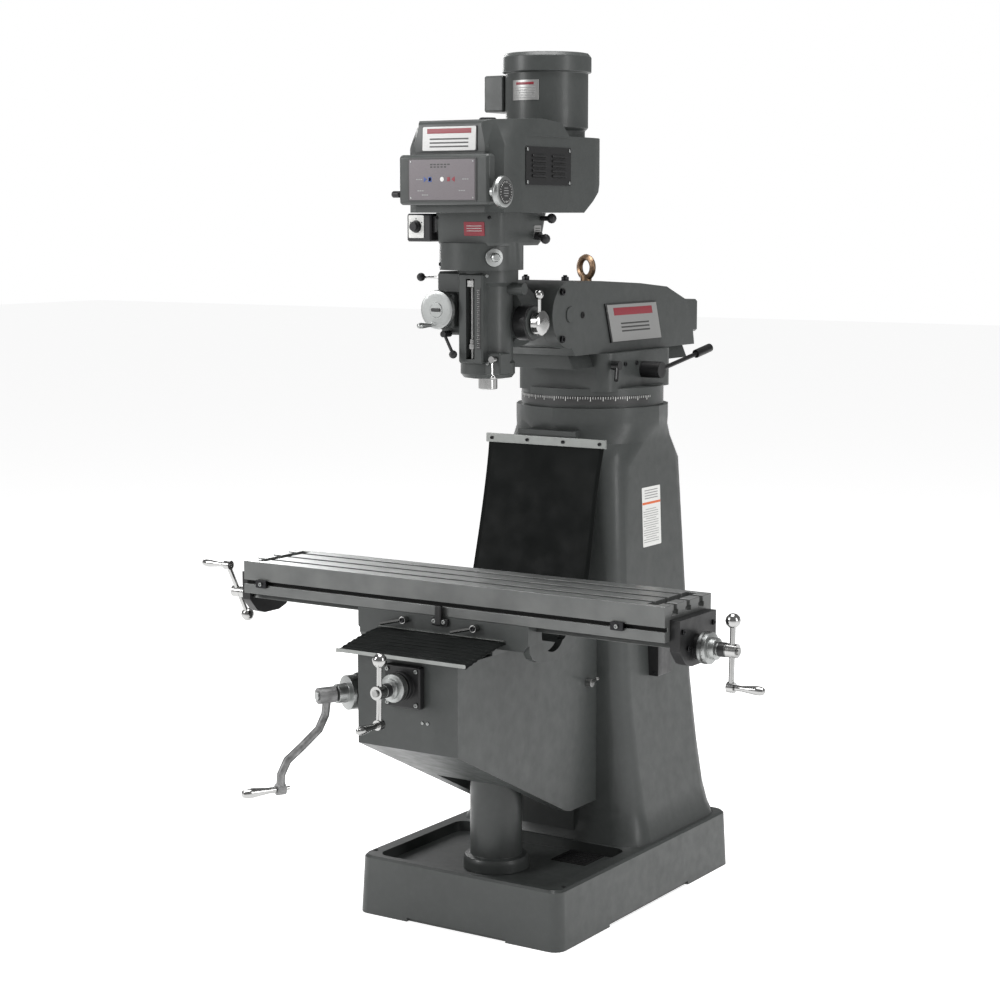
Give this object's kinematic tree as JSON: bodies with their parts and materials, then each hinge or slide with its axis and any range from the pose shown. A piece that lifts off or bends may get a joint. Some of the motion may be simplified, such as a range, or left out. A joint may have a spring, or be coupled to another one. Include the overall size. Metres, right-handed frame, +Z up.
{
  "type": "vertical milling machine",
  "caption": "Knee-and-column vertical mill: swivelling turret, sliding ram, tilting variable-speed head with quill, slotted table on saddle and knee, hand cranks, way covers and tray base.",
  "frame": {"origin": "on the floor, under the middle of the whole machine's width and depth", "axes": "+X to the operator's right along the table, -Y towards the operator, +Z up along the spindle"},
  "size_m": [1.651, 1.5664, 2.2],
  "materials": {
    "black_metal": "black enamel",
    "bright": "polished",
    "bronze": "plain",
    "casting": "semi-gloss grey enamel over cast iron",
    "ground": "ground bright",
    "paint": "semi-gloss grey machine enamel",
    "plastic": "black moulded",
    "rubber": "matte sheet",
    "satin": "satin turned",
    "steel": "turned and ground"
  },
  "bodies": {
    "stand": {"column_base": "casting", "screw_pedestal": "casting", "way_cover_bar": "satin", "rear_way_cover": "rubber"},
    "knee": {"knee_casting": "casting", "cross_feed_bracket": "black_metal", "knee_crank_bracket": "casting", "front_way_cover": "rubber"},
    "knee_lock": {"knee_lock_lever": "bronze"},
    "elevating_screw": {"elevating_screw": "steel"},
    "knee_crank": {"knee_crank_shaft": "steel", "knee_crank_arm": "steel"},
    "knee_grip": {"knee_crank_handle": "bright"},
    "cross_feed": {"cross_feed_screw": "steel", "cross_feed_dial": "satin", "cross_feed_crank": "bright"},
    "cross_grip": {"cross_feed_handle": "bright"},
    "saddle": {"saddle_casting": "casting", "table_stop_bracket": "black_metal"},
    "table_lock_left": {"table_lock_lever_left": "bright"},
    "table_lock_right": {"table_lock_lever_right": "bright"},
    "table": {"table_casting": "ground", "table_bracket_left": "black_metal", "table_bracket_right": "black_metal"},
    "long_feed": {"table_feed_screw": "steel", "table_feed_dial": "satin", "table_crank_left": "bright", "table_crank_right": "bright"},
    "grip_left": {"table_handle_left": "bright"},
    "grip_right": {"table_handle_right": "bright"},
    "turret": {"turret_casting": "casting"},
    "ram_lever": {"ram_lever": "black_metal"},
    "ram_lock": {"ram_lock_lever": "black_metal"},
    "ram": {"ram_casting": "casting", "lifting_eye": "bronze"},
    "knuckle": {"knuckle_casting": "casting"},
    "head": {"head_casting": "casting", "gear_case": "casting", "belt_housing": "paint", "speed_change_box": "paint", "motor": "paint", "terminal_box": "black_metal", "switch_box": "plastic", "depth_stop_rod": "steel", "drive_belt": "rubber"},
    "switch": {"switch_knob": "plastic"},
    "speed_dial": {"speed_dial": "satin"},
    "feed_selector": {"feed_selector": "satin"},
    "brake": {"brake_lever": "plastic"},
    "range": {"range_lever": "plastic"},
    "fine_feed": {"fine_feed_wheel": "satin"},
    "quill_feed": {"quill_feed_lever": "bright"},
    "quill_lock": {"quill_lock_lever": "bright"},
    "feed_engage": {"feed_engage_lever": "bright"},
    "feed_trip": {"feed_trip_lever": "plastic"},
    "depth_stop": {"depth_stop_nut": "bright"},
    "quill": {"quill": "steel"},
    "spindle": {"spindle": "bright"},
    "driven_pulley": {"spindle_pulley": "satin"},
    "driving_pulley": {"motor_pulley": "satin"}
  },
  "joints": [
    {"name": "knee_crank_turn", "type": "hinge", "parent": "knee", "child": "knee_crank", "pos_m": [-0.1816, -0.5094, 0.628], "axis": [-0.454, -0.891, 0], "range_deg": [-57560, 1]},
    {"name": "knee_grip_spin", "type": "hinge", "parent": "knee_crank", "child": "knee_grip", "pos_m": [-0.27943, -0.70142, 0.409], "axis": [-0.454, -0.891, 0], "continuous": true},
    {"name": "knee_lift", "type": "slide", "parent": "stand", "child": "knee", "axis": [0, 0, 1], "range_m": [0, 0.406], "deforming": ["rear_way_cover"]},
    {"name": "elevating_screw_turn", "type": "hinge", "parent": "knee", "child": "elevating_screw", "pos_m": [0, -0.153, 0.6], "axis": [0, 0, 1], "range_deg": [-1, 32600]},
    {"name": "knee_lock_turn", "type": "hinge", "parent": "knee", "child": "knee_lock", "pos_m": [0.147, 0.055, 0.587], "axis": [1, 0, 0], "range_deg": [-40, 40]},
    {"name": "cross_crank_turn", "type": "hinge", "parent": "knee", "child": "cross_feed", "pos_m": [0, -0.585, 0.675], "axis": [0, -1, 0], "range_deg": [-11710, 8870]},
    {"name": "cross_grip_spin", "type": "hinge", "parent": "cross_feed", "child": "cross_grip", "pos_m": [-0.00156, -0.6565, 0.59702], "axis": [0, -1, 0], "continuous": true},
    {"name": "saddle_slide", "type": "slide", "parent": "knee", "child": "saddle", "axis": [0, 1, 0], "range_m": [-0.125, 0.165], "deforming": ["front_way_cover"]},
    {"name": "table_lock_left_turn", "type": "hinge", "parent": "saddle", "child": "table_lock_left", "pos_m": [-0.105, -0.3998, 0.8], "axis": [0, -1, 0], "range_deg": [-60, 5]},
    {"name": "table_lock_right_turn", "type": "hinge", "parent": "saddle", "child": "table_lock_right", "pos_m": [0.105, -0.3998, 0.8], "axis": [0, -1, 0], "range_deg": [-60, 5]},
    {"name": "table_crank_turn", "type": "hinge", "parent": "table", "child": "long_feed", "pos_m": [0, -0.285, 0.794], "axis": [1, 0, 0], "range_deg": [-25900, 25900]},
    {"name": "table_slide", "type": "slide", "parent": "saddle", "child": "table", "axis": [1, 0, 0], "range_m": [-0.365, 0.365]},
    {"name": "grip_left_spin", "type": "hinge", "parent": "long_feed", "child": "grip_left", "pos_m": [-0.7475, -0.32538, 0.86993], "axis": [-1, 0, 0], "continuous": true},
    {"name": "grip_right_spin", "type": "hinge", "parent": "long_feed", "child": "grip_right", "pos_m": [0.7475, -0.288, 0.70805], "axis": [1, 0, 0], "continuous": true},
    {"name": "turret_swivel", "type": "hinge", "parent": "stand", "child": "turret", "pos_m": [0, 0.323, 1.3], "axis": [0, 0, 1], "range_deg": [-180, 180]},
    {"name": "ram_slide", "type": "slide", "parent": "turret", "child": "ram", "axis": [0, -1, 0], "range_m": [-0.124, 0.181]},
    {"name": "ram_lever_turn", "type": "hinge", "parent": "turret", "child": "ram_lever", "pos_m": [0.148, 0.337, 1.386], "axis": [1, 0, 0], "range_deg": [-355.5, 519]},
    {"name": "ram_lock_turn", "type": "hinge", "parent": "turret", "child": "ram_lock", "pos_m": [0.148, 0.175, 1.405], "axis": [1, 0, 0], "range_deg": [-30, 30]},
    {"name": "head_nod", "type": "hinge", "parent": "ram", "child": "knuckle", "pos_m": [0, 0.007, 1.542], "axis": [1, 0, 0], "range_deg": [-45, 45]},
    {"name": "head_tilt", "type": "hinge", "parent": "knuckle", "child": "head", "pos_m": [0, -0.097, 1.542], "axis": [0, 1, 0], "range_deg": [-90, 90]},
    {"name": "switch_turn", "type": "hinge", "parent": "head", "child": "switch", "pos_m": [-0.156, -0.2753, 1.764], "axis": [0, -1, 0], "range_deg": [-60, 60]},
    {"name": "speed_dial_turn", "type": "hinge", "parent": "head", "child": "speed_dial", "pos_m": [0.1333, -0.374, 1.846], "axis": [1, 0, 0], "range_deg": [-720, 720]},
    {"name": "feed_selector_turn", "type": "hinge", "parent": "head", "child": "feed_selector", "pos_m": [0.0719, -0.27304, 1.69], "axis": [0.766, -0.6428, 0], "range_deg": [-45, 45]},
    {"name": "brake_turn", "type": "hinge", "parent": "head", "child": "brake", "pos_m": [0.0978, -0.121, 1.741], "axis": [1, 0, 0], "range_deg": [-35, 35]},
    {"name": "range_turn", "type": "hinge", "parent": "head", "child": "range", "pos_m": [0.1002, -0.1, 1.784], "axis": [1, 0, 0], "range_deg": [0, 90]},
    {"name": "fine_feed_turn", "type": "hinge", "parent": "head", "child": "fine_feed", "pos_m": [-0.086, -0.2695, 1.56], "axis": [0, -1, 0], "continuous": true},
    {"name": "quill_feed_turn", "type": "hinge", "parent": "head", "child": "quill_feed", "pos_m": [0.1085, -0.141, 1.527], "axis": [1, 0, 0], "range_deg": [0, 360]},
    {"name": "quill_slide", "type": "slide", "parent": "head", "child": "quill", "axis": [0, 0, -1], "range_m": [0, 0.1272]},
    {"name": "quill_lock_turn", "type": "hinge", "parent": "head", "child": "quill_lock", "pos_m": [0.062, -0.2513, 1.441], "axis": [0, -1, 0], "range_deg": [-35, 35]},
    {"name": "feed_engage_pull", "type": "slide", "parent": "head", "child": "feed_engage", "axis": [-1, 0, 0], "range_m": [0, 0.01]},
    {"name": "feed_trip_turn", "type": "hinge", "parent": "head", "child": "feed_trip", "pos_m": [-0.076, -0.2475, 1.5], "axis": [0, -1, 0], "range_deg": [-20, 20]},
    {"name": "depth_stop_set", "type": "slide", "parent": "head", "child": "depth_stop", "axis": [0, 0, -1], "range_m": [-0.12, 0.02]},
    {"name": "spindle_spin", "type": "hinge", "parent": "quill", "child": "spindle", "pos_m": [0, -0.19, 1.362], "axis": [0, 0, 1], "continuous": true},
    {"name": "driven_pulley_spin", "type": "hinge", "parent": "head", "child": "driven_pulley", "pos_m": [0, -0.19, 1.92], "axis": [0, 0, 1], "continuous": true},
    {"name": "driving_pulley_spin", "type": "hinge", "parent": "head", "child": "driving_pulley", "pos_m": [0, 0.085, 1.92], "axis": [0, 0, 1], "continuous": true}
  ],
  "couplings": [
    {"joint": "knee_crank_turn", "follows": "knee_lift", "rad_per_m": -2473.7},
    {"joint": "elevating_screw_turn", "follows": "knee_lift", "rad_per_m": 1397.6},
    {"joint": "cross_crank_turn", "follows": "saddle_slide", "rad_per_m": -1236.8},
    {"joint": "table_crank_turn", "follows": "table_slide", "rad_per_m": 1236.8},
    {"joint": "ram_lever_turn", "follows": "ram_slide", "rad_per_m": 50},
    {"joint": "quill_slide", "follows": "quill_feed_turn", "m_per_rad": 0.020213},
    {"joint": "driven_pulley_spin", "follows": "spindle_spin", "ratio": 1},
    {"joint": "driving_pulley_spin", "follows": "spindle_spin", "ratio": 1.409}
  ]
}
